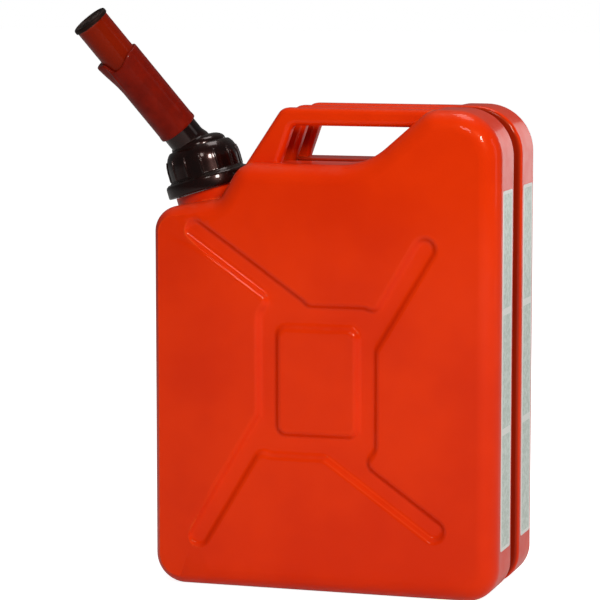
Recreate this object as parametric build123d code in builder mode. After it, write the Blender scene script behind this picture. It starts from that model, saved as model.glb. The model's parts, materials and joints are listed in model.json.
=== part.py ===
from build123d import *
import os
from math import cos, radians, sin

os.makedirs("parts", exist_ok=True)

# ---- Driving dimensions, in mm -------------------------------------------------
# The model is drawn from the middle of the can's base: +X runs along the width, away from the
# spout, the front face looks along -Y and +Z is up. The finished pieces are then shifted along X,
# so that the origin lies under the middle of the whole assembly, spout included.

WIDTH = 345.0
DEPTH = 165.0
HEIGHT = 468.0
SHEET = 1.2  # steel of the pressed half shells
EDGE_R = 20.0  # rounding round the two big faces

TOP_Z = 414.0  # flat top under the handle
TOP_LEFT_X = -84.6
RISE_FOOT_X = 40.0
RISE_HEAD_X = 102.0
SHOULDER_Z = 367.0  # low end of the sloping shoulder that carries the neck
SHOULDER_FOOT = (-106.5, 378.5)

GROOVE_DEPTH = 11.0  # the recess round the waist where the halves are welded
GROOVE_HALF = 15.0
GROOVE_END_X = -80.0  # the recess stops short of the shoulder
GROOVE_END_Z = 345.0
GROOVE_EDGE_R = 4.5
SEAM_HALF = 1.4
SEAM_PROUD = 3.0

PRESS_DEPTH = 5.0  # the pressed cross in each big face
PRESS_WIDTH = 19.0
PRESS_CENTRE = (-4.0, 206.5)
PRESS_FRAME = (117.0, 146.0)
PRESS_ISLAND = (80.0, 104.0)
PRESS_FRAME_R = 14.0
PRESS_ISLAND_R = 9.0
PRESS_BLEND_R = 9.0  # rounding where the arms leave the frame
PRESS_SLOPE = 45.0  # degrees that its walls lean out
PRESS_RIM_R = 6.0
PRESS_FLOOR_R = 5.0
PRESS_ARMS = (
    ((-24.0, 277.0), (-128.0, 349.6)),
    ((47.0, 245.0), (102.0, 337.0)),
    ((-55.0, 167.0), (-125.0, 50.0)),
    ((10.0, 141.0), (112.0, 69.0)),
)
BEVEL_X = -111.0  # left of this line each big face falls away a little
BEVEL_DROP = 5.5

NECK_FOOT = (-141.5, 0.0, 395.7)  # on the neck's axis, level with the collar's rim
NECK_TILT = 17.0  # degrees from upright, towards -X
SEAT_H = -15.0  # heights along the neck's axis, from NECK_FOOT
SEAT_R = 45.5
SEAT_CUT = 80.0
NECK_R = 31.0
NECK_BORE_R = 26.0
NECK_TOP_H = 20.0
NECK_LOW_H = -39.0
NECK_SPIGOT_R = 28.5
NECK_RING_R = 36.0
NECK_RING_TOP_H = -13.8
BREATHER_R = 4.0
BREATHER_WALL = 0.8
BREATHER_H = -33.5

GASKET_T = 2.0
FLANGE_R = 31.0  # the spout's own flange, clamped by the collar
FLANGE_T = 4.6
DOME_R = 27.4
DOME_TOP_H = 39.5

COLLAR_SKIRT_R = 43.0
COLLAR_SKIRT_LOW_H = -13.0
COLLAR_BODY_R = 36.6
COLLAR_BORE_R = 31.3
COLLAR_LIP_R = 27.9
COLLAR_TOP_H = 31.0
COLLAR_SKIRT_BORE_R = 39.5
GRIP_RIBS = 14
GRIP_RIB_R = 1.6
GRIP_RIB_H = 15.0

ELBOW_H = 18.5  # where the tube's axis leaves the neck's axis
ELBOW = 27.3  # degrees between the two axes
TURN = 52.7  # degrees that the tube is turned from -X towards the front

BASE_TUBE_R = 18.0
BASE_BORE_R = 16.0
BASE_FOOT_S = 14.0  # places along the tube's axis, from the elbow
BASE_TOP_S = 62.0
NOZZLE_R = 17.25
NOZZLE_WALL = 1.6
SPIGOT_S = 50.0
SPIGOT_R = 15.95
SPIGOT_BORE_R = 14.2
O_RING_S = 56.0
O_RING_T = 0.8
O_RING_FLOOR_R = 14.6
NOZZLE_TOP_S = 173.5
TIP_S = 177.8
TIP_R = 18.5
TIP_BORE_R = 10.5
TIP_FACE_T = 2.0
TIP_HOLE_R = 1.2
TIP_HOLES = ((3.4, 5), (7.6, 11))  # radius of each circle of holes, and how many
SEAT_S = 169.0  # the valve's seat

SLEEVE_LOW_S = 38.0
SLEEVE_R = 19.9
SLEEVE_BORE_R = 18.3
SLEEVE_FRONT_S = 124.0
SLEEVE_GUIDE_R = 17.5
SLEEVE_STEP_S = 78.0
SLEEVE_HOOK_S = 135.0
SLEEVE_EAR_S = 131.0
SLEEVE_EAR_X = 4.0
SLEEVE_TRAVEL = 12.0
HOOK_R = 24.5
HOOK_HALF = 8.0
PIN_HALF = 19.2
PIN_S = 94.0
PIN_R = 1.5
STEM_R = 2.5
STEM_LOW_S = 76.0
STEM_PLAY = 0.1
GUIDE_T = 3.0
GUIDE_RIM = 1.5
GUIDE_HUB_R = 8.0
GUIDE_ARM = 4.0
VENT_X = 10.0
VENT_R = 2.4
VENT_WALL = 0.7
VENT_LOW_S = 24.0
VENT_TOP_S = 149.0
VALVE_R = 12.8
VALVE_T = 3.0
VALVE_SEAL_T = 1.5
WASHER_T = 1.5
WASHER_R = 6.9
CLIP_T = 0.8
CLIP_BITE = 0.6
SPRING_LOW_S = 115.0
SPRING_HIGH_S = 150.0
SPRING_R = 6.0
SPRING_WIRE_R = 0.8
SPRING_TURNS = 6.5

BAR_PITCH = 48.0  # the three handle bars
BAR_HALF = 9.0
BAR_TOP_Z = 467.0
BAR_LOW_Z = 450.0
BAR_EDGE_R = 6.0
WEB_T = 3.0
WEB_HOLE_R = 3.2

LABEL_W = 38.0
LABEL_T = 0.3
LABEL_Y = 42.0
LABEL_TOP_Z = 392.0
LABEL_LOW_Z = 48.0

CLEARANCE = 0.3  # between pieces that move past each other

# ---- Frames of reference -------------------------------------------------------

UP_Y = Vector(0, 1, 0)
tilt = radians(NECK_TILT)
neck_axis = Vector(-sin(tilt), 0, cos(tilt))
neck_right = UP_Y.cross(neck_axis)
NECK = Plane(origin=NECK_FOOT, x_dir=neck_right, z_dir=neck_axis)
NECK_SIDE = Plane(origin=NECK_FOOT, x_dir=neck_right, z_dir=neck_right.cross(neck_axis))
NECK_LINE = Axis(NECK.origin, neck_axis)

lean = radians(ELBOW)
turn = radians(TURN)
tube_axis = (
    neck_axis * cos(lean)
    - neck_right * (sin(lean) * cos(turn))
    - UP_Y * (sin(lean) * sin(turn))
)
tube_right = UP_Y.cross(tube_axis).normalized()
elbow_point = NECK.origin + neck_axis * ELBOW_H
TUBE = Plane(origin=elbow_point, x_dir=tube_right, z_dir=tube_axis)
TUBE_SIDE = Plane(origin=elbow_point, x_dir=tube_right, z_dir=tube_right.cross(tube_axis))
TUBE_LINE = Axis(TUBE.origin, tube_axis)


# ---- Outlines and blocks that several pieces share ------------------------------


def can_outline(inset):
    """The can seen from the front, every edge moved in by inset."""
    corners = (
        (-WIDTH / 2, 0),
        (WIDTH / 2, 0),
        (WIDTH / 2, HEIGHT),
        (RISE_HEAD_X, HEIGHT),
        (RISE_FOOT_X, TOP_Z),
        (TOP_LEFT_X, TOP_Z),
        SHOULDER_FOOT,
        (-WIDTH / 2, SHOULDER_Z),
    )
    radii = (30, 32, 46, 24, 70, 24, 14, 25)
    with BuildSketch(Plane.XZ) as outline:
        with BuildLine():
            FilletPolyline(*corners, radius=radii, close=True)
        make_face()
        if inset:
            offset(amount=-inset)
    return outline.sketch


def press_outline(grow):
    """The sunk frame and its four arms, seen from the front."""
    with BuildSketch(Plane.XZ.offset(DEPTH / 2)) as outline:
        with Locations(PRESS_CENTRE):
            RectangleRounded(*PRESS_FRAME, radius=PRESS_FRAME_R)
        for start, end in PRESS_ARMS:
            run = Vector(*end) - Vector(*start)
            middle = (Vector(*start) + Vector(*end)) / 2
            with Locations(Plane(origin=middle, x_dir=run, z_dir=(0, 0, 1))):
                SlotCenterToCenter(run.length, PRESS_WIDTH)
        offset(amount=PRESS_BLEND_R)
        offset(amount=-PRESS_BLEND_R)
        with Locations(PRESS_CENTRE):
            RectangleRounded(*PRESS_ISLAND, radius=PRESS_ISLAND_R, mode=Mode.SUBTRACT)
        offset(amount=PRESS_DEPTH / 2 + grow)
    return outline.sketch


def waist_ring(outer_inset, inner_inset, margin=0):
    """The run of the waist groove seen from the front, between two insets of the outline."""
    with BuildSketch(Plane.XZ) as ring:
        add(can_outline(outer_inset))
        add(can_outline(inner_inset), mode=Mode.SUBTRACT)
        with Locations((GROOVE_END_X + margin, GROOVE_END_Z - margin)):
            Rectangle(WIDTH, HEIGHT, align=(Align.MAX, Align.MIN), mode=Mode.SUBTRACT)
    return ring.sketch


def lies_at(edge, y, outline=None):
    """Does the whole edge lie at this depth, and over the outline where one is given?"""
    spots = [edge @ part for part in (0, 0.5, 1)]
    level = all(abs(spot.Y - y) < 0.01 for spot in spots)
    if outline is None or not level:
        return level
    middle = Vertex(spots[1].X, outline.bounding_box().min.Y, spots[1].Z)
    return min(side.distance_to(middle) for side in outline.edges()) < 0.01


def half_block(inset):
    """The front half of the can as one block, every wall moved in by inset."""
    outline = can_outline(inset)
    press = press_outline(inset / cos(radians(PRESS_SLOPE)))
    press_rim = press_outline(inset / cos(radians(PRESS_SLOPE)) - inset)
    step_y = GROOVE_HALF + inset
    with BuildPart() as block:
        with BuildSketch(Plane.XZ):
            add(outline)
        extrude(amount=DEPTH / 2 - inset)
        fillet(block.faces().sort_by(Axis.Y)[0].edges(), radius=EDGE_R - inset)
        with BuildSketch(Plane.XZ):
            add(waist_ring(-GROOVE_DEPTH, GROOVE_DEPTH + inset, inset))
        extrude(amount=step_y, mode=Mode.SUBTRACT)
        lip = [edge for edge in block.edges() if lies_at(edge, -step_y, outline)]
        fillet(lip, radius=GROOVE_EDGE_R - inset)
        with BuildSketch(Plane.XZ.offset(DEPTH / 2)):
            add(press)
        extrude(amount=-PRESS_DEPTH - inset, taper=PRESS_SLOPE, mode=Mode.SUBTRACT)
        face_y = -DEPTH / 2 + inset
        rim = [edge for edge in block.edges() if lies_at(edge, face_y, press_rim)]
        fillet(rim, radius=PRESS_RIM_R)
        floor = [edge for edge in block.edges() if lies_at(edge, face_y + PRESS_DEPTH)]
        fillet(floor, radius=PRESS_FLOOR_R)
        with BuildSketch(Plane.XY):
            with BuildLine():
                Polyline(
                    (BEVEL_X, face_y),
                    (-WIDTH / 2, face_y + BEVEL_DROP),
                    (-WIDTH / 2, face_y - BEVEL_DROP),
                    close=True,
                )
            make_face()
        extrude(amount=HEIGHT, mode=Mode.SUBTRACT)
        with BuildSketch(NECK.offset(SEAT_H - inset)):
            Circle(SEAT_R + inset)
        extrude(amount=SEAT_CUT, mode=Mode.SUBTRACT)
    return block.part


def turned(side, line, outline):
    """A piece turned about a line, from the (radius, height) corners of its section."""
    with BuildPart() as piece:
        with BuildSketch(side):
            with BuildLine():
                Polyline(*outline, close=True)
            make_face()
        revolve(axis=line)
    return piece.part


pieces = {}


def finish(name, piece):
    """Label a finished piece and keep it for writing."""
    piece.label = name
    pieces[name] = piece


# ---- The pressed can and what is welded to it -----------------------------------

front_solid = half_block(0)
front_void = half_block(SHEET)

with BuildPart() as front_shell:
    add(front_solid)
    add(front_void, mode=Mode.SUBTRACT)
    with BuildSketch(NECK.offset(2 * NECK_LOW_H)):
        Circle(NECK_SPIGOT_R)
    extrude(amount=-2 * NECK_LOW_H, mode=Mode.SUBTRACT)
finish("front_shell", front_shell.part)

with BuildPart() as rear_shell:
    mirror(front_shell.part, about=Plane.XZ)
finish("rear_shell", rear_shell.part)

with BuildPart() as can_envelope:
    add(front_solid)
    mirror(front_solid, about=Plane.XZ)

with BuildPart() as seam_weld:
    with BuildSketch(Plane.XZ.offset(-SEAM_HALF)):
        add(waist_ring(GROOVE_DEPTH - SEAM_PROUD, GROOVE_DEPTH))
    extrude(amount=2 * SEAM_HALF)
finish("seam_weld", seam_weld.part)

bar_outline = (
    (112, BAR_TOP_Z),
    (-47.5, BAR_TOP_Z),
    (-93, 399),
    (-55, 399),
    (-37, BAR_LOW_Z),
    (112, BAR_LOW_Z),
)


def handle_bar(middle_y):
    """One bar of the handle with its leg, cut off where it meets the can."""
    with BuildPart() as bar:
        with BuildSketch(Plane.XZ.offset(-middle_y - BAR_HALF)):
            with BuildLine():
                FilletPolyline(*bar_outline, radius=(8, 12, 8, 8, 7, 8), close=True)
            make_face()
        extrude(amount=2 * BAR_HALF)
        fillet(bar.faces().filter_by(Axis.Y).edges(), radius=BAR_EDGE_R)
        add(can_envelope.part, mode=Mode.SUBTRACT)
        add(seam_weld.part, mode=Mode.SUBTRACT)
    return bar.part


for name, row in (("front_handle_bar", -1), ("middle_handle_bar", 0), ("rear_handle_bar", 1)):
    finish(name, handle_bar(row * BAR_PITCH))

with BuildPart() as handle_webs:
    for side in (-1, 1):
        with BuildSketch(Plane.XZ.offset(side * BAR_PITCH / 2 - BAR_PITCH / 2 + BAR_HALF)):
            with BuildLine():
                Polyline((-49, 455), (-49 + WEB_T, 455), (-67, 405), (-67 - WEB_T, 405), close=True)
            make_face()
        extrude(amount=BAR_PITCH - 2 * BAR_HALF)
    with BuildSketch(Plane.YZ.offset(-90)):
        with Locations((-BAR_PITCH / 2, 424), (BAR_PITCH / 2, 424)):
            Circle(WEB_HOLE_R)
    extrude(amount=60, mode=Mode.SUBTRACT)
    add(can_envelope.part, mode=Mode.SUBTRACT)
finish("handle_webs", handle_webs.part)

for name, side in (("front_label", -1), ("rear_label", 1)):
    with BuildPart() as label:
        with BuildSketch(Plane.YZ.offset(WIDTH / 2)):
            with Locations((side * LABEL_Y, (LABEL_TOP_Z + LABEL_LOW_Z) / 2)):
                RectangleRounded(LABEL_W, LABEL_TOP_Z - LABEL_LOW_Z, radius=3)
        extrude(amount=LABEL_T)
    finish(name, label.part)

# ---- The neck --------------------------------------------------------------------

with BuildPart() as neck_seat_ring:
    with BuildSketch(NECK.offset(NECK_LOW_H)):
        Circle(NECK_RING_R)
        Circle(NECK_SPIGOT_R, mode=Mode.SUBTRACT)
    extrude(amount=NECK_RING_TOP_H - NECK_LOW_H)
    add(can_envelope.part, mode=Mode.SUBTRACT)
finish("neck_seat_ring", neck_seat_ring.part.solids().sort_by(NECK_LINE)[-1])

neck_section = (
    (NECK_BORE_R, NECK_LOW_H),
    (NECK_SPIGOT_R, NECK_LOW_H),
    (NECK_SPIGOT_R, NECK_RING_TOP_H),
    (NECK_R, NECK_RING_TOP_H),
    (NECK_R, NECK_TOP_H),
    (NECK_BORE_R, NECK_TOP_H),
)
breather_start = NECK.origin + neck_right * (NECK_BORE_R + 0.5) + neck_axis * BREATHER_H
with BuildPart() as breather_tube:
    with BuildLine() as breather_path:
        FilletPolyline(
            breather_start,
            (-82, 0, 384),
            (45, 0, 384),
            (112, 0, 436),
            radius=(40, 60),
        )
    with BuildSketch(Plane(breather_path.line @ 0, z_dir=breather_path.line % 0)):
        Circle(BREATHER_R)
        Circle(BREATHER_R - BREATHER_WALL, mode=Mode.SUBTRACT)
    sweep()
finish("breather_tube", breather_tube.part)

with BuildPart() as filler_neck:
    add(turned(NECK_SIDE, NECK_LINE, neck_section))
    with BuildSketch(Plane(breather_path.line @ 0, z_dir=breather_path.line % 0).offset(-5)):
        Circle(BREATHER_R)
    extrude(amount=12, mode=Mode.SUBTRACT)
finish("filler_neck", filler_neck.part)

flame_section = (
    (0, -58),
    (23.3, -58),
    (23.3, 13),
    (NECK_BORE_R, 13),
    (NECK_BORE_R, 14.5),
    (22.5, 14.5),
    (22.5, -57.2),
    (0, -57.2),
)
finish("flame_arrester", turned(NECK_SIDE, NECK_LINE, flame_section))

gasket_section = (
    (22.5, NECK_TOP_H),
    (30.5, NECK_TOP_H),
    (30.5, NECK_TOP_H + GASKET_T),
    (22.5, NECK_TOP_H + GASKET_T),
)
finish("neck_gasket", turned(NECK_SIDE, NECK_LINE, gasket_section))

# ---- The collar and the spout's base ----------------------------------------------

flange_low_h = NECK_TOP_H + GASKET_T
flange_top_h = flange_low_h + FLANGE_T
lip_h = flange_top_h + CLEARANCE

with BuildPart() as screw_collar:
    with BuildSketch(NECK_SIDE):
        with BuildLine():
            Polyline(
                (COLLAR_LIP_R, COLLAR_TOP_H),
                (COLLAR_LIP_R, lip_h),
                (COLLAR_BORE_R, lip_h),
                (COLLAR_BORE_R, -3),
                (COLLAR_SKIRT_BORE_R, -7),
                (COLLAR_SKIRT_BORE_R, COLLAR_SKIRT_LOW_H),
                (COLLAR_SKIRT_R, COLLAR_SKIRT_LOW_H),
                (COLLAR_SKIRT_R, -1.5),
                (COLLAR_SKIRT_R - 1.5, 0),
                (COLLAR_BODY_R, 2),
                (COLLAR_BODY_R, 14),
            )
            ThreePointArc((COLLAR_BODY_R, 14), (34.4, 25.5), (29.5, COLLAR_TOP_H))
            Line((29.5, COLLAR_TOP_H), (COLLAR_LIP_R, COLLAR_TOP_H))
        make_face()
    revolve(axis=NECK_LINE)
    with BuildSketch(NECK):
        with PolarLocations(COLLAR_BODY_R, GRIP_RIBS):
            Circle(GRIP_RIB_R)
    extrude(amount=GRIP_RIB_H)
finish("screw_collar", screw_collar.part)

with BuildPart() as spout_base:
    with BuildSketch(NECK_SIDE):
        with BuildLine():
            Polyline(
                (0, DOME_TOP_H),
                (0, flange_low_h),
                (FLANGE_R, flange_low_h),
                (FLANGE_R, flange_top_h),
                (DOME_R, flange_top_h),
                (DOME_R, COLLAR_TOP_H),
            )
            ThreePointArc((DOME_R, COLLAR_TOP_H), (24.2, 36.4), (14, DOME_TOP_H))
            Line((14, DOME_TOP_H), (0, DOME_TOP_H))
        make_face()
    revolve(axis=NECK_LINE)
    with BuildSketch(TUBE.offset(BASE_FOOT_S)):
        Circle(BASE_TUBE_R)
    extrude(amount=BASE_TOP_S - BASE_FOOT_S)
    with BuildSketch(TUBE.offset(-20)):
        Circle(BASE_BORE_R)
    extrude(amount=BASE_TOP_S + 20, mode=Mode.SUBTRACT)
finish("spout_base", spout_base.part)

# ---- The nozzle and what is fixed in it ---------------------------------------------

nozzle_bore_r = NOZZLE_R - NOZZLE_WALL
nozzle_section = (
    (SPIGOT_BORE_R, SPIGOT_S),
    (SPIGOT_R, SPIGOT_S),
    (SPIGOT_R, O_RING_S - O_RING_T),
    (O_RING_FLOOR_R, O_RING_S - O_RING_T),
    (O_RING_FLOOR_R, O_RING_S + O_RING_T),
    (SPIGOT_R, O_RING_S + O_RING_T),
    (SPIGOT_R, BASE_TOP_S),
    (NOZZLE_R, BASE_TOP_S),
    (NOZZLE_R, NOZZLE_TOP_S),
    (nozzle_bore_r, NOZZLE_TOP_S),
    (nozzle_bore_r, BASE_TOP_S + 2),
    (SPIGOT_BORE_R, BASE_TOP_S + 2),
)
with BuildPart() as nozzle_tube:
    add(turned(TUBE_SIDE, TUBE_LINE, nozzle_section))
    with BuildSketch(TUBE_SIDE.offset(-2 * NOZZLE_R)):
        with Locations((0, PIN_S - SLEEVE_TRAVEL / 2)):
            SlotCenterToCenter(SLEEVE_TRAVEL, 2 * (PIN_R + CLEARANCE), rotation=90)
    extrude(amount=4 * NOZZLE_R, mode=Mode.SUBTRACT)
finish("nozzle_tube", nozzle_tube.part)

with BuildPart() as nozzle_o_ring:
    with BuildSketch(TUBE_SIDE):
        with Locations(((O_RING_FLOOR_R + BASE_BORE_R) / 2, O_RING_S)):
            Circle((BASE_BORE_R - O_RING_FLOOR_R) / 2)
    revolve(axis=TUBE_LINE)
finish("nozzle_o_ring", nozzle_o_ring.part)

tip_section = (
    (0, TIP_S),
    (0, TIP_S - TIP_FACE_T),
    (TIP_BORE_R, TIP_S - TIP_FACE_T),
    (TIP_BORE_R, SEAT_S),
    (nozzle_bore_r, SEAT_S),
    (nozzle_bore_r, NOZZLE_TOP_S),
    (TIP_R, NOZZLE_TOP_S),
    (TIP_R, TIP_S - 1),
    (TIP_R - 1, TIP_S),
)
with BuildPart() as tip_cap:
    add(turned(TUBE_SIDE, TUBE_LINE, tip_section))
    with BuildSketch(TUBE.offset(TIP_S)):
        for circle_r, count in TIP_HOLES:
            with PolarLocations(circle_r, count):
                Circle(TIP_HOLE_R)
    extrude(amount=-TIP_FACE_T, mode=Mode.SUBTRACT)
finish("tip_cap", tip_cap.part)

with BuildPart() as stem_guide:
    with BuildSketch(TUBE.offset(SPRING_LOW_S - GUIDE_T)):
        Circle(nozzle_bore_r)
        Circle(nozzle_bore_r - GUIDE_RIM, mode=Mode.SUBTRACT)
        Circle(GUIDE_HUB_R)
        with PolarLocations((GUIDE_HUB_R + nozzle_bore_r - GUIDE_RIM) / 2, 3):
            Rectangle(GUIDE_HUB_R, GUIDE_ARM)
        Circle(STEM_R + STEM_PLAY, mode=Mode.SUBTRACT)
        with Locations((VENT_X, 0)):
            Circle(VENT_R, mode=Mode.SUBTRACT)
    extrude(amount=GUIDE_T)
finish("stem_guide", stem_guide.part)

with BuildPart() as air_vent_tube:
    with BuildSketch(TUBE.offset(VENT_LOW_S)):
        with Locations((VENT_X, 0)):
            Circle(VENT_R)
            Circle(VENT_R - VENT_WALL, mode=Mode.SUBTRACT)
    extrude(amount=VENT_TOP_S - VENT_LOW_S)
finish("air_vent_tube", air_vent_tube.part)

# ---- The sleeve and the valve that it pulls open ---------------------------------------

with BuildPart() as cross_pin:
    with BuildSketch(TUBE_SIDE.offset(-PIN_HALF)):
        with Locations((0, PIN_S)):
            Circle(PIN_R)
    extrude(amount=2 * PIN_HALF)
finish("cross_pin", cross_pin.part)

sleeve_section = (
    (SLEEVE_BORE_R, SLEEVE_LOW_S),
    (SLEEVE_R + 0.4, SLEEVE_LOW_S),
    (SLEEVE_R + 0.4, SLEEVE_LOW_S + 3),
    (SLEEVE_R, SLEEVE_LOW_S + 6),
    (SLEEVE_R, SLEEVE_FRONT_S),
    (SLEEVE_GUIDE_R, SLEEVE_FRONT_S),
    (SLEEVE_GUIDE_R, SLEEVE_STEP_S),
    (SLEEVE_BORE_R, SLEEVE_STEP_S),
)
with BuildPart() as release_sleeve:
    add(turned(TUBE_SIDE, TUBE_LINE, sleeve_section))
    add(cross_pin.part, mode=Mode.SUBTRACT)
    for side, top_s in ((-1, SLEEVE_HOOK_S), (1, SLEEVE_EAR_S)):
        with BuildSketch(TUBE.offset(SLEEVE_FRONT_S)):
            Circle(SLEEVE_R)
            Circle(SLEEVE_GUIDE_R, mode=Mode.SUBTRACT)
            with Locations((side * (SLEEVE_EAR_X - SLEEVE_R), 0)):
                Rectangle(2 * SLEEVE_R, 2 * SLEEVE_R, mode=Mode.SUBTRACT)
        extrude(amount=top_s - SLEEVE_FRONT_S)
    with BuildSketch(TUBE_SIDE.offset(-HOOK_HALF)):
        with BuildLine():
            Polyline(
                (-SLEEVE_R + 0.8, SLEEVE_HOOK_S - 22),
                (-SLEEVE_R - 0.2, SLEEVE_HOOK_S - 20),
                (-HOOK_R, SLEEVE_HOOK_S - 1),
                (-HOOK_R + 1, SLEEVE_HOOK_S),
                (-SLEEVE_R + 0.8, SLEEVE_HOOK_S),
                close=True,
            )
        make_face()
    extrude(amount=2 * HOOK_HALF)
finish("release_sleeve", release_sleeve.part)

valve_low_s = SEAT_S - VALVE_SEAL_T - VALVE_T
clip_s = SPRING_HIGH_S + WASHER_T
stem_section = (
    (0, STEM_LOW_S),
    (STEM_R, STEM_LOW_S),
    (STEM_R, clip_s),
    (STEM_R - CLIP_BITE, clip_s),
    (STEM_R - CLIP_BITE, clip_s + CLIP_T),
    (STEM_R, clip_s + CLIP_T),
    (STEM_R, valve_low_s + VALVE_T),
    (0, valve_low_s + VALVE_T),
)
with BuildPart() as valve_stem:
    add(turned(TUBE_SIDE, TUBE_LINE, stem_section))
    add(cross_pin.part, mode=Mode.SUBTRACT)
finish("valve_stem", valve_stem.part)


def ring(low_s, height, outer_r, inner_r):
    """A flat ring or disc round the tube's axis."""
    with BuildPart() as piece:
        with BuildSketch(TUBE.offset(low_s)):
            Circle(outer_r)
            if inner_r:
                Circle(inner_r, mode=Mode.SUBTRACT)
        extrude(amount=height)
    return piece.part


finish("valve_disc", ring(valve_low_s, VALVE_T, VALVE_R, STEM_R))
finish("valve_seal", ring(SEAT_S - VALVE_SEAL_T, VALVE_SEAL_T, VALVE_R, 0))
finish("spring_washer", ring(SPRING_HIGH_S, WASHER_T, WASHER_R, STEM_R))
finish("stem_clip", ring(clip_s, CLIP_T, 2 * STEM_R, STEM_R - CLIP_BITE))

spring_height = SPRING_HIGH_S - SPRING_LOW_S - 2 * SPRING_WIRE_R
with BuildPart() as return_spring:
    with BuildLine():
        spring_path = Helix(
            pitch=spring_height / SPRING_TURNS,
            height=spring_height,
            radius=SPRING_R,
            center=TUBE.origin + tube_axis * (SPRING_LOW_S + SPRING_WIRE_R),
            direction=tube_axis,
        )
    with BuildSketch(Plane(spring_path @ 0, z_dir=spring_path % 0)):
        Circle(SPRING_WIRE_R)
    sweep(is_frenet=True)
finish("return_spring", return_spring.part)

# ---- Writing -------------------------------------------------------------------------

low_x = min(piece.bounding_box().min.X for piece in pieces.values())
high_x = max(piece.bounding_box().max.X for piece in pieces.values())
to_origin = Location((-(low_x + high_x) / 2, 0, 0))

for name, piece in pieces.items():
    placed = piece.moved(to_origin)
    placed.label = name
    export_step(placed, f"parts/{name}.step")
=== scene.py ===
import json
import math

import bpy
from mathutils import Matrix, Vector


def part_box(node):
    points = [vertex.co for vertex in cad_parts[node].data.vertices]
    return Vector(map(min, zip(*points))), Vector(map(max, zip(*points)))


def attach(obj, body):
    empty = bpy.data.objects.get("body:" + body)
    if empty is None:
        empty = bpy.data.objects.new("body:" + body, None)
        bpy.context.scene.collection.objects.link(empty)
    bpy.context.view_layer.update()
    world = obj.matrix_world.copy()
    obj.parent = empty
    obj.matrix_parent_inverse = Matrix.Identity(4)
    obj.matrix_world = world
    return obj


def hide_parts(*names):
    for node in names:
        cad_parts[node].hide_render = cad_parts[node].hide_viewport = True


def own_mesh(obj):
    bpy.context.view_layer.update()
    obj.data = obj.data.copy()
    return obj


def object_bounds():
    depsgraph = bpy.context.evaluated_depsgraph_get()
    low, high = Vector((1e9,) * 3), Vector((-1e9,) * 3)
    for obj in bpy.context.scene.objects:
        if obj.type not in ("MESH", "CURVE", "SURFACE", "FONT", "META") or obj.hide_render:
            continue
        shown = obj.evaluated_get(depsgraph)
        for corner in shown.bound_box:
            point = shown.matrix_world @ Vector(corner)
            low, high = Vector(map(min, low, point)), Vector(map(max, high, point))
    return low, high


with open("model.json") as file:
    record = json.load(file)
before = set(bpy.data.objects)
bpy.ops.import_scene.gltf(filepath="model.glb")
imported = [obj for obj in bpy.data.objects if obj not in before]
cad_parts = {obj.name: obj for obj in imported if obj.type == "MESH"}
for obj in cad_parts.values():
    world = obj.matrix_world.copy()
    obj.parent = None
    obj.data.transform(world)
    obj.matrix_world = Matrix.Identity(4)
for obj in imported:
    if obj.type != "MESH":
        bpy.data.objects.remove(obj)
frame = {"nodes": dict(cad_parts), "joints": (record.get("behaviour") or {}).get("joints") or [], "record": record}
cad_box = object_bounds()
record = frame["record"]
joints = {joint["name"]: joint for joint in frame["joints"]}
slot_of = {part["node"]: part["material_slot"] for part in record["subparts"]}
body_of = {node: body for body, nodes in record["behaviour"]["bodies"].items() for node in nodes}

# The neck's line and the tube's line, which most of the spout is turned about.
neck_foot = Vector(joints["collar_turn"]["pos_m"])
neck_line = Vector(joints["collar_turn"]["axis"]).normalized()
tube_line = -Vector(joints["sleeve_slide"]["axis"]).normalized()
elbow = neck_foot + neck_line * 0.0185


# ---- Shader groups that several finishes share ----------------------------------


def new_group(name, inputs, outputs):
    """An empty shader group with its named sockets."""
    group = bpy.data.node_groups.new(name, "ShaderNodeTree")
    for label, kind, value in inputs:
        socket = group.interface.new_socket(label, in_out="INPUT", socket_type=kind)
        socket.default_value = value
    for label, kind in outputs:
        group.interface.new_socket(label, in_out="OUTPUT", socket_type=kind)
    start = group.nodes.new("NodeGroupInput")
    end = group.nodes.new("NodeGroupOutput")
    return group, start.outputs, end.inputs


def feed(tree, socket, value):
    """Links an output to a socket, or sets the socket to a plain value."""
    if isinstance(value, bpy.types.NodeSocket):
        tree.links.new(value, socket)
    else:
        socket.default_value = value


def add_node(tree, kind, settings=None, **feeds):
    """A node with its settings, and its inputs fed by name, or by number as i0, i1 and so on."""
    node = tree.nodes.new(kind)
    for key, value in (settings or {}).items():
        setattr(node, key, value)
    for key, value in feeds.items():
        numbered = key[0] == "i" and key[1:].isdigit()
        feed(tree, node.inputs[int(key[1:])] if numbered else node.inputs[key.replace("_", " ")], value)
    return node


def maths(tree, operation, first, second=0.0, third=0.0, clamp=False):
    """One sum on values, and its result."""
    settings = {"operation": operation, "use_clamp": clamp}
    return add_node(tree, "ShaderNodeMath", settings, i0=first, i1=second, i2=third).outputs[0]


def stretch(tree, value, low, high, to_low=0.0, to_high=1.0):
    """A value's range moved smoothly on to another."""
    node = add_node(
        tree, "ShaderNodeMapRange", {"interpolation_type": "SMOOTHSTEP"},
        i0=value, i1=low, i2=high, i3=to_low, i4=to_high,
    )
    return node.outputs[0]


def blend_colour(tree, share, first, second):
    """Two colours mixed by a share."""
    node = add_node(tree, "ShaderNodeMix", {"data_type": "RGBA"}, i0=share, i6=first, i7=second)
    return node.outputs[2]


def noise(tree, place, scale, detail=2.0, rough=0.5):
    """Noise at a scale in marks per metre."""
    settings = {"Vector": place, "Scale": scale, "Detail": detail, "Roughness": rough}
    return add_node(tree, "ShaderNodeTexNoise", **settings).outputs[0]


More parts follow.
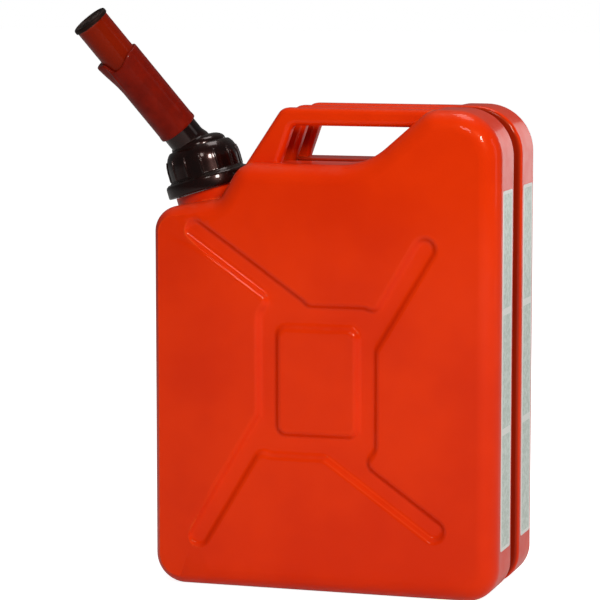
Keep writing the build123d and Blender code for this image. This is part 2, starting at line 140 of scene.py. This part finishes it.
def make_orange_peel():
    """The fine ripple that sprayed enamel dries with, over the slow waves of pressed sheet."""
    group, given, out = new_group(
        "orange_peel",
        [
            ("Place", "NodeSocketVector", (0, 0, 0)),
            ("Fineness", "NodeSocketFloat", 420.0),
            ("Waves", "NodeSocketFloat", 14.0),
        ],
        [("Height", "NodeSocketFloat"), ("Gloss Shift", "NodeSocketFloat")],
    )
    fine = noise(group, given["Place"], given["Fineness"], 3.0, 0.45)
    slow = noise(group, given["Place"], given["Waves"], 2.0)
    mixed = maths(group, "MULTIPLY_ADD", slow, 2.2, fine)
    group.links.new(mixed, out["Height"])
    patches = noise(group, given["Place"], 55.0, 4.0, 0.6)
    group.links.new(stretch(group, patches, 0.35, 0.7), out["Gloss Shift"])
    return group


def make_edge_rub():
    """A mask of the edges and rims that hands and floors rub."""
    group, given, out = new_group(
        "edge_rub",
        [
            ("Place", "NodeSocketVector", (0, 0, 0)),
            ("Width", "NodeSocketFloat", 0.003),
            ("Amount", "NodeSocketFloat", 0.5),
        ],
        [("Mask", "NodeSocketFloat")],
    )
    rounded = add_node(group, "ShaderNodeBevel", {"samples": 6}, Radius=given["Width"])
    facing = group.nodes.new("ShaderNodeNewGeometry").outputs["Normal"]
    same = add_node(group, "ShaderNodeVectorMath", {"operation": "DOT_PRODUCT"}, i0=rounded.outputs[0], i1=facing)
    edge = stretch(group, same.outputs["Value"], 0.995, 0.90)
    breaks = stretch(group, noise(group, given["Place"], 130.0, 5.0, 0.65), 0.38, 0.62)
    broken = maths(group, "MULTIPLY", edge, breaks)
    group.links.new(maths(group, "MULTIPLY", broken, given["Amount"], clamp=True), out["Mask"])
    return group


def make_settled_dust():
    """A thin patchy film on what faces upwards."""
    group, given, out = new_group(
        "settled_dust",
        [("Place", "NodeSocketVector", (0, 0, 0)), ("Amount", "NodeSocketFloat", 0.2)],
        [("Mask", "NodeSocketFloat")],
    )
    facing = group.nodes.new("ShaderNodeNewGeometry")
    split = add_node(group, "ShaderNodeSeparateXYZ", None, Vector=facing.outputs["Normal"])
    upward = stretch(group, split.outputs["Z"], 0.45, 1.0)
    patches = stretch(group, noise(group, given["Place"], 70.0, 6.0, 0.7), 0.3, 0.75)
    film = maths(group, "MULTIPLY", upward, patches)
    group.links.new(maths(group, "MULTIPLY", film, given["Amount"], clamp=True), out["Mask"])
    return group


def make_moulded_grain():
    """The fine spark-eroded grain of moulded plastic."""
    group, given, out = new_group(
        "moulded_grain",
        [("Place", "NodeSocketVector", (0, 0, 0)), ("Fineness", "NodeSocketFloat", 1500.0)],
        [("Height", "NodeSocketFloat"), ("Tone", "NodeSocketFloat")],
    )
    grain = noise(group, given["Place"], given["Fineness"], 4.0, 0.6)
    group.links.new(grain, out["Height"])
    group.links.new(stretch(group, noise(group, given["Place"], 90.0, 4.0), 0.3, 0.7), out["Tone"])
    return group


orange_peel = make_orange_peel()
edge_rub = make_edge_rub()
settled_dust = make_settled_dust()
moulded_grain = make_moulded_grain()


# ---- Finishes -------------------------------------------------------------------


def new_finish(name, **constants):
    """A material with one Principled shader, the object's own coordinates, and its plain sockets set."""
    finish = bpy.data.materials.new(name)
    finish.use_nodes = True
    tree = finish.node_tree
    shader = tree.nodes["Principled BSDF"]
    for key, value in constants.items():
        shader.inputs[key.replace("_", " ")].default_value = value
    place = tree.nodes.new("ShaderNodeTexCoord").outputs["Object"]
    return finish, tree, shader, place


def use_group(tree, group, **feeds):
    """A shader group placed in a material."""
    node = tree.nodes.new("ShaderNodeGroup")
    node.node_tree = group
    for key, value in feeds.items():
        feed(tree, node.inputs[key.replace("_", " ")], value)
    return node.outputs


def raise_surface(tree, shader, height, distance, strength=1.0):
    """Feeds a height to the shader's normal."""
    bump = add_node(tree, "ShaderNodeBump", None, Height=height, Distance=distance, Strength=strength)
    tree.links.new(bump.outputs[0], shader.inputs["Normal"])


GROOVE_EDGE = 0.0172  # half the waist groove's width, where its painted shade starts
GROOVE_DEEP = 0.0148
ENAMEL_GLEAM = (1.0, 0.32, 0.12, 1)
PLAIN_GLEAM = (1, 1, 1, 1)


def make_enamel(name, colour, shade, worn, roughness, coat, groove=0.0):
    """Sprayed gloss enamel on pressed steel, paler on its rims, and darkened by painted shade down in the waist
    groove by the amount groove gives.
    """
    finish, tree, shader, place = new_finish(
        name, Coat_Roughness=0.05, IOR=1.45, Specular_IOR_Level=0.22, Specular_Tint=ENAMEL_GLEAM
    )
    peel = use_group(tree, orange_peel, Place=place)
    rub = use_group(tree, edge_rub, Place=place, Width=0.0035, Amount=0.55)
    dust = use_group(tree, settled_dust, Place=place, Amount=0.10)
    tone = stretch(tree, noise(tree, place, 9.0, 3.0), 0.3, 0.7)
    paint = blend_colour(tree, tone, colour, shade)
    paint = blend_colour(tree, rub["Mask"], paint, worn)
    paint = blend_colour(tree, dust["Mask"], paint, (0.55, 0.30, 0.20, 1))
    # Painted shade: a darker red down in the waist groove, by groove's amount, where the groove's walls shadow it.
    depth = add_node(tree, "ShaderNodeSeparateXYZ", None, Vector=place).outputs["Y"]
    groove_shade = stretch(tree, maths(tree, "ABSOLUTE", depth), GROOVE_EDGE, GROOVE_DEEP, 0.0, groove)
    paint = blend_colour(tree, groove_shade, paint, (0.16, 0.008, 0.003, 1))
    tree.links.new(paint, shader.inputs["Base Color"])
    gloss = maths(tree, "MULTIPLY_ADD", peel["Gloss Shift"], 0.07, roughness)
    gloss = maths(tree, "MULTIPLY_ADD", dust["Mask"], 0.35, gloss)
    tree.links.new(gloss, shader.inputs["Roughness"])
    tree.links.new(maths(tree, "MULTIPLY_ADD", dust["Mask"], -0.3, coat), shader.inputs["Coat Weight"])
    raise_surface(tree, shader, peel["Height"], 0.00016, 0.35)
    return finish


def make_moulding(name, colour, shade, roughness, coat, fineness, depth, rubbed, gleam=PLAIN_GLEAM):
    """Moulded plastic with a fine grain, paler where it is rubbed."""
    finish, tree, shader, place = new_finish(
        name, Coat_Roughness=0.08, IOR=1.45, Specular_IOR_Level=0.22, Specular_Tint=gleam
    )
    grain = use_group(tree, moulded_grain, Place=place, Fineness=fineness)
    rub = use_group(tree, edge_rub, Place=place, Width=0.0012, Amount=0.5)
    dust = use_group(tree, settled_dust, Place=place, Amount=0.06)
    paint = blend_colour(tree, grain["Tone"], colour, shade)
    paint = blend_colour(tree, rub["Mask"], paint, rubbed)
    paint = blend_colour(tree, dust["Mask"], paint, (0.4, 0.37, 0.33, 1))
    tree.links.new(paint, shader.inputs["Base Color"])
    gloss = maths(tree, "MULTIPLY_ADD", grain["Tone"], 0.10, roughness)
    tree.links.new(gloss, shader.inputs["Roughness"])
    tree.links.new(maths(tree, "MULTIPLY_ADD", dust["Mask"], -0.2, coat), shader.inputs["Coat Weight"])
    raise_surface(tree, shader, grain["Height"], depth, 0.5)
    return finish


def make_metal(name, colour, shade, roughness):
    """Bright metal with fine turning marks and a few darker patches."""
    finish, tree, shader, place = new_finish(name, Metallic=1.0)
    grain = use_group(tree, moulded_grain, Place=place, Fineness=900.0)
    rub = use_group(tree, edge_rub, Place=place, Width=0.0008, Amount=0.6)
    paint = blend_colour(tree, grain["Tone"], colour, shade)
    paint = blend_colour(tree, rub["Mask"], paint, (0.85, 0.84, 0.82, 1))
    tree.links.new(paint, shader.inputs["Base Color"])
    tree.links.new(maths(tree, "MULTIPLY_ADD", grain["Tone"], 0.15, roughness), shader.inputs["Roughness"])
    raise_surface(tree, shader, grain["Height"], 0.00003, 0.4)
    return finish


PANELS = 3
BORDER = 0.0036  # white margin of a label and half the gap between two panels


def make_label_sheet(node):
    """A blank printed sheet: a pale green-grey field with plain panels, inside a white border."""
    low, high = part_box(node)
    half_width = (high.y - low.y) / 2
    panel_pitch = (high.z - low.z) / PANELS
    finish, tree, shader, place = new_finish("sheet_" + node, Coat_Weight=0.15, Coat_Roughness=0.2)
    split = add_node(tree, "ShaderNodeSeparateXYZ", None, Vector=place)
    across = maths(tree, "ABSOLUTE", maths(tree, "SUBTRACT", split.outputs["Y"], (low.y + high.y) / 2))
    along = maths(tree, "SUBTRACT", split.outputs["Z"], low.z)
    side_edge = stretch(tree, across, half_width - BORDER - 0.0006, half_width - BORDER)
    from_gap = maths(tree, "PINGPONG", along, panel_pitch / 2)
    gap = stretch(tree, from_gap, BORDER, BORDER - 0.0006)
    border = maths(tree, "MAXIMUM", side_edge, gap)
    grain = use_group(tree, moulded_grain, Place=place, Fineness=1100.0)
    dust = use_group(tree, settled_dust, Place=place, Amount=0.1)
    mottle = stretch(tree, noise(tree, place, 240.0, 5.0, 0.65), 0.42, 0.6)
    field = blend_colour(tree, mottle, (0.55, 0.64, 0.58, 1), (0.72, 0.81, 0.76, 1))
    sheet = blend_colour(tree, border, field, (0.86, 0.88, 0.85, 1))
    sheet = blend_colour(tree, dust["Mask"], sheet, (0.4, 0.36, 0.3, 1))
    tree.links.new(sheet, shader.inputs["Base Color"])
    tree.links.new(maths(tree, "MULTIPLY_ADD", grain["Tone"], 0.12, 0.42), shader.inputs["Roughness"])
    raise_surface(tree, shader, grain["Height"], 0.00004, 0.4)
    return finish


shell_colours = ((0.86, 0.037, 0.0004, 1), (0.76, 0.027, 0.0003, 1), (0.94, 0.12, 0.02, 1))
enamel = make_enamel("orange_enamel", *shell_colours, 0.30, 0.24)
# The shells' enamel carries painted shade in the waist groove.
shell_enamel_with_groove_shade = make_enamel("orange_shell_enamel", *shell_colours, 0.30, 0.24, groove=0.75)
weld_enamel = make_enamel(
    "weld_enamel", (0.52, 0.030, 0.008, 1), (0.40, 0.022, 0.006, 1), (0.8, 0.12, 0.05, 1), 0.38, 0.5
)
# Painted shade: the handle webs are painted a much darker red for the shadow they stand in between the handle
# legs.
web_shade_enamel = make_enamel(
    "web_shade_enamel", (0.22, 0.008, 0.001, 1), (0.10, 0.004, 0.0005, 1), (0.55, 0.06, 0.02, 1), 0.42, 0.10
)
deep_red = make_enamel(
    "deep_red_enamel", (0.23, 0.009, 0.0006, 1), (0.15, 0.004, 0.0003, 1), (0.45, 0.06, 0.04, 1), 0.30, 0.10
)
sleeve_red = make_moulding(
    "deep_red_moulding", (0.20, 0.006, 0.0006, 1), (0.15, 0.004, 0.0004, 1), 0.36, 0.06, 900.0, 0.00005,
    (0.40, 0.06, 0.04, 1), (1.0, 0.35, 0.3, 1)
)
black_plastic = make_moulding(
    "black_moulding", (0.0100, 0.0020, 0.0015, 1), (0.0035, 0.0012, 0.0010, 1), 0.20, 0.45, 1500.0, 0.00005,
    (0.10, 0.07, 0.065, 1), (1.0, 0.5, 0.45, 1)
)
tip_plastic = make_moulding(
    "tip_moulding", (0.012, 0.005, 0.0035, 1), (0.006, 0.003, 0.002, 1), 0.46, 0.0, 700.0, 0.00025,
    (0.13, 0.10, 0.09, 1), (1.0, 0.55, 0.5, 1)
)
white_plastic = make_moulding(
    "natural_moulding", (0.72, 0.71, 0.66, 1), (0.64, 0.63, 0.58, 1), 0.4, 0.1, 1200.0, 0.00004,
    (0.8, 0.79, 0.75, 1)
)
rubber = make_moulding(
    "black_rubber", (0.02, 0.02, 0.02, 1), (0.012, 0.012, 0.012, 1), 0.6, 0.0, 600.0, 0.00008,
    (0.06, 0.06, 0.06, 1)
)
steel = make_metal("drawn_steel", (0.56, 0.56, 0.55, 1), (0.44, 0.44, 0.43, 1), 0.24)
brass = make_metal("sheet_brass", (0.72, 0.50, 0.20, 1), (0.55, 0.36, 0.14, 1), 0.28)

finish_of_slot = {
    "can_paint": enamel,
    "weld_paint": weld_enamel,
    "neck_steel": steel,
    "gauze_brass": brass,
    "seal_rubber": rubber,
    "collar_plastic": black_plastic,
    "sleeve_red": sleeve_red,
    "nozzle_red": deep_red,
    "tip_black": tip_plastic,
    "inner_plastic": white_plastic,
    "bright_steel": steel,
}


def dress(piece, finish):
    """Gives the whole piece one finish."""
    piece.data.materials.clear()
    piece.data.materials.append(finish)


# The shells get painted shade down in their waist groove, and the webs get dark paint as painted shade for the
# shadow they stand in; the rest go by slot.
finish_of_node = {"front_shell": shell_enamel_with_groove_shade, "rear_shell": shell_enamel_with_groove_shade, "handle_webs": web_shade_enamel}
for node, piece in frame["nodes"].items():
    slot_name = slot_of[node]
    if slot_name == "label_sheet":
        dress(piece, make_label_sheet(node))
    elif node in finish_of_node:
        dress(piece, finish_of_node[node])
    else:
        dress(piece, finish_of_slot[slot_name])


# ---- Pieces redrawn over their CAD shapes ----------------------------------------


MERGE = 0.00002  # how close two corners of a copied mesh are before they join
KEPT_EDGE = math.radians(32)  # a sharper edge stays sharp


def smooth_copy(node):
    """A joined-up copy of a CAD shape with its flat faces kept flat and its rounds smooth."""
    bpy.ops.object.select_all(action="DESELECT")
    source = frame["nodes"][node]
    copy = source.copy()
    copy.data = source.data.copy()
    copy.name = node + "_skin"
    copy.parent = None
    for key in list(copy.keys()):
        if key.startswith("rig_"):
            del copy[key]
    bpy.context.scene.collection.objects.link(copy)
    bpy.context.view_layer.objects.active = copy
    copy.select_set(True)
    bpy.ops.object.mode_set(mode="EDIT")
    bpy.ops.mesh.select_all(action="SELECT")
    bpy.ops.mesh.customdata_custom_splitnormals_clear()
    bpy.ops.mesh.remove_doubles(threshold=MERGE)
    bpy.ops.object.mode_set(mode="OBJECT")
    bpy.ops.object.shade_smooth_by_angle(angle=KEPT_EDGE)
    even = copy.modifiers.new("even", "WEIGHTED_NORMAL")
    even.keep_sharp = True
    even.weight = 80
    bpy.ops.object.modifier_apply(modifier=even.name)
    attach(copy, body_of[node])
    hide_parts(node)
    return copy


skins = [
    "front_shell", "rear_shell", "front_handle_bar", "middle_handle_bar", "rear_handle_bar", "neck_seat_ring",
    "nozzle_tube", "seam_weld", "handle_webs",
]
for node in skins:
    smooth_copy(node)


# ---- Pieces turned and shaped by hand ---------------------------------------------


def pick_faces(piece, test):
    """Leaves edit mode's selection on the faces whose middle and facing pass a test."""
    bpy.ops.mesh.select_all(action="DESELECT")
    bpy.ops.object.mode_set(mode="OBJECT")
    for face in piece.data.polygons:
        face.select = test(face.center, face.normal)
    bpy.ops.object.mode_set(mode="EDIT")


def turn_ring(name, section, sides):
    """A closed ring about Z, drawn up ring by ring from its (radius, height) section in mm."""
    bpy.ops.object.select_all(action="DESELECT")
    radius, height = section[0]
    bpy.ops.mesh.primitive_circle_add(vertices=sides, radius=radius / 1000, location=(0, 0, height / 1000))
    piece = bpy.context.object
    piece.name = name
    bpy.ops.object.transform_apply(location=True)
    bpy.ops.object.mode_set(mode="EDIT")
    bpy.ops.mesh.select_mode(type="EDGE")
    bpy.ops.mesh.select_all(action="SELECT")
    for next_radius, next_height in section[1:]:
        rise = (next_height - height) / 1000
        bpy.ops.mesh.extrude_edges_move(TRANSFORM_OT_translate={"value": (0, 0, rise)})
        grow = next_radius / radius
        bpy.ops.transform.resize(value=(grow, grow, 1), center_override=(0, 0, next_height / 1000))
        radius, height = next_radius, next_height
    bpy.ops.mesh.select_all(action="SELECT")
    bpy.ops.mesh.region_to_loop()
    bpy.ops.mesh.bridge_edge_loops()
    bpy.ops.mesh.select_all(action="SELECT")
    bpy.ops.mesh.normals_make_consistent(inside=False)
    bpy.ops.mesh.select_mode(type="FACE")
    bpy.ops.object.mode_set(mode="OBJECT")
    return piece


def soften(piece, width, segments=3, angle=28.0):
    """Rounds every sharp edge by a width in mm and smooths the shading."""
    bpy.ops.object.select_all(action="DESELECT")
    bpy.context.view_layer.objects.active = piece
    piece.select_set(True)
    bevel = piece.modifiers.new("rounded_edges", "BEVEL")
    bevel.width = width / 1000
    bevel.segments = segments
    bevel.limit_method = "ANGLE"
    bevel.angle_limit = math.radians(angle)
    bpy.ops.object.modifier_apply(modifier=bevel.name)
    bpy.ops.object.shade_smooth_by_angle(angle=math.radians(40))


def stand_on(piece, foot, line):
    """Moves a piece drawn about Z on to a line, with its X turned square to that line and to Y."""
    side = Vector((0, 1, 0)).cross(line).normalized()
    back = line.cross(side)
    turn = Matrix((side, back, line)).transposed().to_4x4()
    piece.matrix_world = Matrix.Translation(foot) @ turn
    bpy.ops.object.select_all(action="DESELECT")
    bpy.context.view_layer.objects.active = piece
    piece.select_set(True)
    bpy.ops.object.transform_apply(location=True, rotation=True, scale=True)


def hand_in(piece, node):
    """Puts a finished piece in its CAD node's place."""
    dress(piece, finish_of_slot[slot_of[node]])
    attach(piece, body_of[node])
    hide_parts(node)


def make_collar():
    """The screw collar: a flared skirt, a rounded grip with low ribs, and a rolled lip round the dome."""
    section = (
        (39.5, -7), (39.5, -13), (42.2, -13), (43, -12.2), (43, -3), (42.4, -1.2), (40.4, 0.4), (37.6, 1.2),
        (36.6, 3), (36.6, 13), (36.2, 18), (35.2, 22.6), (33.6, 26.4), (31.8, 29), (30.2, 30.6), (28.8, 31),
        (27.9, 30.3), (27.9, 26.9), (31.3, 26.9), (31.3, -3),
    )
    sides = 112
    collar = turn_ring("collar_hand_turned", section, sides)
    bpy.ops.object.mode_set(mode="EDIT")

    def on_rib(middle, facing):
        step = math.degrees(math.atan2(middle.y, middle.x)) % (360 / 14)
        flat = 0.0025 < middle.z < 0.0215 and middle.xy.length > 0.0345
        return flat and step < 360 / sides

    pick_faces(collar, on_rib)
    bpy.ops.mesh.extrude_region_shrink_fatten(TRANSFORM_OT_shrink_fatten={"value": 0.0011})
    bpy.ops.object.mode_set(mode="OBJECT")
    soften(collar, 0.45, 3, 24)
    stand_on(collar, neck_foot, neck_line)
    hand_in(collar, "screw_collar")


def swell(value, low, high):
    """A smooth rise from 0 to 1 between two values."""
    share = min(1.0, max(0.0, (value - low) / (high - low)))
    return share * share * (3 - 2 * share)


def make_sleeve():
    """The sliding sleeve: its lip sweeps up into a small ear and into a flared hook with a raised crease."""
    foot = ((18.3, 38), (20.0, 38), (20.3, 38.6), (20.3, 41), (19.9, 43.5))
    outside = tuple((19.9, height) for height in (60, 80, 92, 100, 106, 111, 115, 118, 121))
    lip = ((19.8, 123.3), (19.3, 124), (17.9, 124), (17.5, 123.4))
    inside = ((17.5, 118), (17.5, 110), (17.5, 78), (18.3, 78))
    sleeve = turn_ring("sleeve_hand_shaped", foot + outside + lip + inside, 128)
    for vertex in sleeve.data.vertices:
        place = vertex.co
        radius = place.xy.length
        bearing = math.degrees(math.atan2(place.y, place.x)) % 360
        from_hook = abs(bearing - 180)
        from_ear = min(bearing, 360 - bearing)
        high = swell(place.z, 0.100, 0.124)
        hook = 1 - swell(from_hook, 38, 66)
        ear = 1 - swell(from_ear, 40, 100)
        place.z += high * (0.0110 * hook + 0.0068 * ear)
        if radius > 0.0188:
            flare = 0.0044 * high * (1 - swell(from_hook, 8, 50))
            crease = 0.0007 * swell(place.z, 0.098, 0.112) * (1 - swell(abs(from_hook - 52), 1.5, 5.5))
            grow = (radius + flare + crease) / radius
            place.x *= grow
            place.y *= grow
    soften(sleeve, 0.35, 3, 35)
    stand_on(sleeve, elbow, tube_line)
    hand_in(sleeve, "release_sleeve")


def make_base():
    """The spout's foot: a clamped flange and dome, with the short tube growing out of it at a slant."""
    dome_section = (
        (16.5, 22.2), (30.9, 22.2), (30.9, 26.4), (27.4, 26.6), (27.4, 31), (27.0, 33.4), (25.6, 35.6),
        (23.4, 37.2), (20.6, 38.5), (17.4, 39.3), (13.0, 39.5),
    )
    dome = turn_ring("spout_foot", dome_section, 96)
    soften(dome, 0.4, 3, 30)
    stand_on(dome, neck_foot, neck_line)
    outside = tuple((18.0, height) for height in (14, 16, 18, 20, 22, 24, 26, 30, 38, 50, 61))
    mouth = ((17.6, 62), (16.4, 62), (16.0, 61))
    tube = turn_ring("spout_foot_tube", ((16.0, 14),) + outside + mouth, 96)
    for vertex in tube.data.vertices:
        place = vertex.co
        radius = place.xy.length
        if radius > 0.017:
            root = 0.0020 * (1 - swell(place.z, 0.016, 0.0245))
            place.x *= (radius + root) / radius
            place.y *= (radius + root) / radius
    soften(tube, 0.3, 2, 35)
    stand_on(tube, elbow, tube_line)
    bpy.ops.object.select_all(action="DESELECT")
    tube.select_set(True)
    dome.select_set(True)
    bpy.context.view_layer.objects.active = dome
    bpy.ops.object.join()
    hand_in(dome, "spout_base")


def make_tip():
    """The tip: a rolled rim round a face of two ridges, with pockets sunk between them."""
    face, ridge = 176.9, 177.4
    section = (
        (1.5, face), (4.4, face), (4.6, ridge), (5.5, ridge), (5.7, face), (6.1, face), (8.5, face), (8.9, face),
        (9.1, ridge), (10.0, ridge), (10.2, face), (10.7, face), (14.1, face), (14.6, face), (15.0, 177.6),
        (15.6, 177.8), (17.3, 177.8), (18.2, 177.3), (18.5, 176.4), (18.5, 173.6), (17.3, 173.5), (15.6, 173.5),
        (15.6, 169), (10.5, 169), (10.5, 175.7), (1.5, 175.7),
    )
    sides = 96
    tip = turn_ring("tip_hand_turned", section, sides)
    bpy.ops.object.mode_set(mode="EDIT")
    for low, high, count in ((6.2, 8.4, 8), (10.8, 14.0, 16)):

        def in_pocket(middle, facing):
            share = math.degrees(math.atan2(middle.y, middle.x)) % (360 / count) / (360 / count)
            top = middle.z > 0.1768 and facing.z > 0.9
            return top and low < middle.xy.length * 1000 < high and 0.17 < share < 0.83

        pick_faces(tip, in_pocket)
        bpy.ops.mesh.extrude_region_move(TRANSFORM_OT_translate={"value": (0, 0, -0.0009)})
    bpy.ops.object.mode_set(mode="OBJECT")
    soften(tip, 0.16, 2, 30)
    stand_on(tip, elbow, tube_line)
    hand_in(tip, "tip_cap")


def make_spring():
    """The return spring, which on the can shortens along the tube as the sleeve comes down; here only a smoothed
    copy with a mesh of its own.
    """
    spring = smooth_copy("return_spring")
    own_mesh(spring)


make_collar()
make_sleeve()
make_base()
make_tip()
make_spring()


# ---- Floor, light and camera ------------------------------------------------------


def aim(thing, target):
    """Turns a light or camera to face a point."""
    thing.rotation_euler = (Vector(target) - thing.location).to_track_quat("-Z", "Y").to_euler()


def add_light(name, place, width, height, power, colour):
    """A soft rectangular studio light that faces the can."""
    lamp = bpy.data.lights.new(name, "AREA")
    lamp.shape = "RECTANGLE"
    lamp.size, lamp.size_y = width, height
    lamp.energy = power
    lamp.color = colour
    thing = bpy.data.objects.new(name, lamp)
    bpy.context.scene.collection.objects.link(thing)
    thing.location = place
    aim(thing, (cad_box[0] + cad_box[1]) / 2)


def lay_floor():
    """A pale floor plane, which the camera sees as white."""
    bpy.ops.object.select_all(action="DESELECT")
    bpy.ops.mesh.primitive_plane_add(size=40, location=(0, 0, cad_box[0].z - 0.0002))
    floor = bpy.context.object
    floor.name = "studio_floor"
    paper = bpy.data.materials.new("white_paper")
    paper.use_nodes = True
    tree = paper.node_tree
    shader = tree.nodes["Principled BSDF"]
    shader.inputs["Roughness"].default_value = 0.8
    shader.inputs["Specular IOR Level"].default_value = 0.2
    shader.inputs["Emission Color"].default_value = (1, 1, 1, 1)
    direct = tree.nodes.new("ShaderNodeLightPath").outputs["Is Camera Ray"]
    tree.links.new(maths(tree, "MULTIPLY", direct, 0.92), shader.inputs["Emission Strength"])
    place = tree.nodes.new("ShaderNodeTexCoord").outputs["Object"]
    grey = blend_colour(tree, noise(tree, place, 30.0, 3.0), (0.80, 0.80, 0.80, 1), (0.83, 0.83, 0.83, 1))
    tree.links.new(grey, shader.inputs["Base Color"])
    floor.data.materials.append(paper)


def light_air():
    """A dim grey all round, which the camera sees as white."""
    world = bpy.data.worlds.new("studio")
    bpy.context.scene.world = world
    world.use_nodes = True
    air = world.node_tree
    dim = air.nodes["Background"]
    dim.inputs["Color"].default_value = (1, 1, 1, 1)
    dim.inputs["Strength"].default_value = 0.12
    bright = add_node(air, "ShaderNodeBackground", Color=(1, 1, 1, 1), Strength=1.0)
    direct = air.nodes.new("ShaderNodeLightPath").outputs["Is Camera Ray"]
    choose = add_node(air, "ShaderNodeMixShader", i0=direct, i1=dim.outputs[0], i2=bright.outputs[0])
    air.links.new(choose.outputs[0], air.nodes["World Output"].inputs[0])


WARM = (1, 0.97, 0.92)
WHITE = (1, 1, 1)
lay_floor()
add_light("key", (2.1, -2.7, 2.2), 0.6, 0.6, 76, WARM)
add_light("fill", (0.4, -3.0, 2.3), 0.7, 0.7, 19, WARM)
add_light("side", (2.9, 0.2, 1.0), 0.8, 1.8, 5, WHITE)
add_light("card", (0.95, 3.0, 0.5), 1.2, 1.2, 6, WHITE)
add_light("top", (0.3, 0.3, 2.8), 1.2, 0.9, 19, WHITE)
light_air()

VIEW_AZIMUTH = 17.353
VIEW_ELEVATION = 6.724
VIEW_DISTANCE = 2.8706
lens = bpy.data.cameras.new("camera")
lens.lens = 175.2
lens.sensor_width = 36
lens.clip_end = 50
camera = bpy.data.objects.new("camera", lens)
bpy.context.scene.collection.objects.link(camera)
target = Vector((-0.00452, 0, 0.2753))
across, up = math.radians(VIEW_AZIMUTH), math.radians(VIEW_ELEVATION)
camera.location = target + VIEW_DISTANCE * Vector(
    (math.sin(across) * math.cos(up), -math.cos(across) * math.cos(up), math.sin(up))
)
aim(camera, target)
bpy.context.scene.camera = camera
bpy.context.scene.view_settings.view_transform = "Standard"
